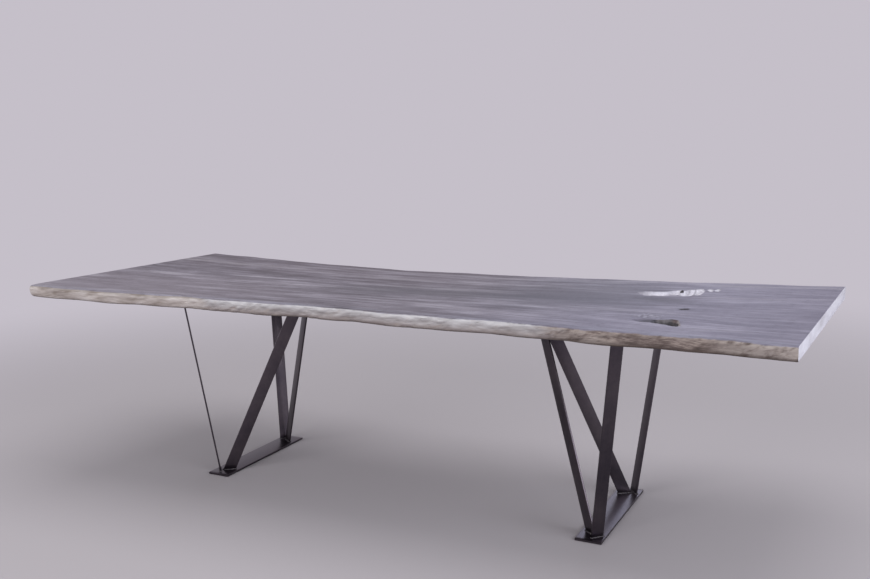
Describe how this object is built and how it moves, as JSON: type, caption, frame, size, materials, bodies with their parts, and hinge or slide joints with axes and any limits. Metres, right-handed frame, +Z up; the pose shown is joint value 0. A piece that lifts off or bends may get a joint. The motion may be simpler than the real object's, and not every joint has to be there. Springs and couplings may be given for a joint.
{
  "type": "dining table",
  "caption": "Long dining table: a live-edge hardwood slab with natural hollows in its top, carried on open bases of leaning blackened-steel flat bars.",
  "frame": {"origin": "on the floor, under the middle of the slab's bounding box", "axes": "+X along the slab's length toward the end with the hollows, +Y toward the waisted rear edge, +Z up"},
  "size_m": [2.8182, 1.1056, 0.76],
  "materials": {
    "tabletop_wood": "grey-washed hardwood with a satin top and pale raw edges",
    "blackened_steel": "blackened and waxed hot-rolled steel",
    "zinc_steel": "zinc-plated steel",
    "insert_brass": "plain brass"
  },
  "bodies": {
    "root": {"left_apex_plate": "blackened_steel", "left_bolt_apex_front": "zinc_steel", "left_bolt_apex_rear": "zinc_steel", "left_bolt_front_hole": "zinc_steel", "left_bolt_front_slot": "zinc_steel", "left_bolt_rear_hole": "zinc_steel", "left_bolt_rear_slot": "zinc_steel", "left_cross_bar": "blackened_steel", "left_floor_plate": "blackened_steel", "left_front_inner_leg": "blackened_steel", "left_front_outer_leg": "blackened_steel", "left_insert_apex_front": "insert_brass", "left_insert_apex_rear": "insert_brass", "left_insert_front_hole": "insert_brass", "left_insert_front_slot": "insert_brass", "left_insert_rear_hole": "insert_brass", "left_insert_rear_slot": "insert_brass", "left_rear_inner_leg": "blackened_steel", "left_rear_outer_leg": "blackened_steel", "left_spine_bar": "blackened_steel", "left_washer_apex_front": "zinc_steel", "left_washer_apex_rear": "zinc_steel", "left_washer_front_hole": "zinc_steel", "left_washer_front_slot": "zinc_steel", "left_washer_rear_hole": "zinc_steel", "left_washer_rear_slot": "zinc_steel", "right_apex_plate": "blackened_steel", "right_bolt_apex_front": "zinc_steel", "right_bolt_apex_rear": "zinc_steel", "right_bolt_front_hole": "zinc_steel", "right_bolt_front_slot": "zinc_steel", "right_bolt_rear_hole": "zinc_steel", "right_bolt_rear_slot": "zinc_steel", "right_cross_bar": "blackened_steel", "right_floor_plate": "blackened_steel", "right_front_inner_leg": "blackened_steel", "right_front_outer_leg": "blackened_steel", "right_insert_apex_front": "insert_brass", "right_insert_apex_rear": "insert_brass", "right_insert_front_hole": "insert_brass", "right_insert_front_slot": "insert_brass", "right_insert_rear_hole": "insert_brass", "right_insert_rear_slot": "insert_brass", "right_rear_inner_leg": "blackened_steel", "right_rear_outer_leg": "blackened_steel", "right_spine_bar": "blackened_steel", "right_washer_apex_front": "zinc_steel", "right_washer_apex_rear": "zinc_steel", "right_washer_front_hole": "zinc_steel", "right_washer_front_slot": "zinc_steel", "right_washer_rear_hole": "zinc_steel", "right_washer_rear_slot": "zinc_steel", "tabletop_slab": "tabletop_wood"}
  },
  "joints": []
}
